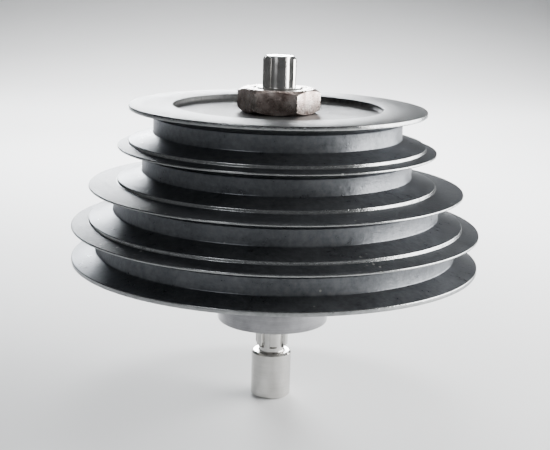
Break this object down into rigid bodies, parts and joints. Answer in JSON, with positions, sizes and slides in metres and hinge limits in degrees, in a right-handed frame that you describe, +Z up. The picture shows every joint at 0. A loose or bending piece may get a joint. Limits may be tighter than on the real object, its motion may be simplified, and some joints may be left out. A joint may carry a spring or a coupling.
{
  "type": "drill press spindle v-belt pulley",
  "caption": "Stepped V-belt cone pulley clamped by a hex nut to a ball-borne drive sleeve, through which a splined drill spindle slides.",
  "frame": {"origin": "on the turning axis, at the middle of the lower ball bearing's outer seat", "axes": "+Z up along the turning axis, from the bearings to the nut; +X through the drive key; -Y is the side that the operator faces"},
  "size_m": [0.17, 0.17, 0.1462],
  "materials": {
    "pulley_casting": "dark graphite coating, semi-gloss, over a turned casting",
    "nut_steel": "dark brown-grey oxide with bare bright wear",
    "sleeve_steel": "turned steel, thin oil film",
    "key_steel": "cold-drawn key steel",
    "spindle_steel": "ground and polished, bright",
    "spacer_steel": "turned steel",
    "spring_steel": "phosphated spring steel, near black",
    "bearing_ring_steel": "ground bearing steel",
    "ball_steel": "polished",
    "shield_steel": "pressed zinc-plated sheet",
    "cage_steel": "pressed sheet steel"
  },
  "bodies": {
    "fixed_rings": {"lower_bearing_outer_ring": "bearing_ring_steel", "lower_bearing_bottom_shield": "shield_steel", "lower_bearing_top_shield": "shield_steel", "upper_bearing_outer_ring": "bearing_ring_steel", "upper_bearing_bottom_shield": "shield_steel", "upper_bearing_top_shield": "shield_steel", "outer_spacer": "spacer_steel"},
    "rotor": {"cone_pulley": "pulley_casting", "pulley_nut": "nut_steel", "drive_sleeve": "sleeve_steel", "drive_key": "key_steel", "inner_spacer": "spacer_steel", "retaining_ring": "spring_steel", "lower_bearing_inner_ring": "bearing_ring_steel", "upper_bearing_inner_ring": "bearing_ring_steel"},
    "lower_cage": {"lower_bearing_balls": "ball_steel", "lower_bearing_cage_top": "cage_steel", "lower_bearing_cage_bottom": "cage_steel", "lower_bearing_cage_rivets": "cage_steel"},
    "upper_cage": {"upper_bearing_balls": "ball_steel", "upper_bearing_cage_top": "cage_steel", "upper_bearing_cage_bottom": "cage_steel", "upper_bearing_cage_rivets": "cage_steel"},
    "sliding_spindle": {"spindle": "spindle_steel"}
  },
  "joints": [
    {"name": "pulley_spin", "type": "hinge", "parent": "fixed_rings", "child": "rotor", "pos_m": [0, 0, 0.013], "axis": [0, 0, 1], "continuous": true},
    {"name": "lower_cage_spin", "type": "hinge", "parent": "fixed_rings", "child": "lower_cage", "pos_m": [0, 0, 0], "axis": [0, 0, 1], "continuous": true},
    {"name": "upper_cage_spin", "type": "hinge", "parent": "fixed_rings", "child": "upper_cage", "pos_m": [0, 0, 0.026], "axis": [0, 0, 1], "continuous": true},
    {"name": "spindle_slide", "type": "slide", "parent": "rotor", "child": "sliding_spindle", "axis": [0, 0, 1], "range_m": [-0.06, 0]}
  ],
  "couplings": [
    {"joint": "lower_cage_spin", "follows": "pulley_spin", "ratio": 0.38152},
    {"joint": "upper_cage_spin", "follows": "pulley_spin", "ratio": 0.38152}
  ]
}
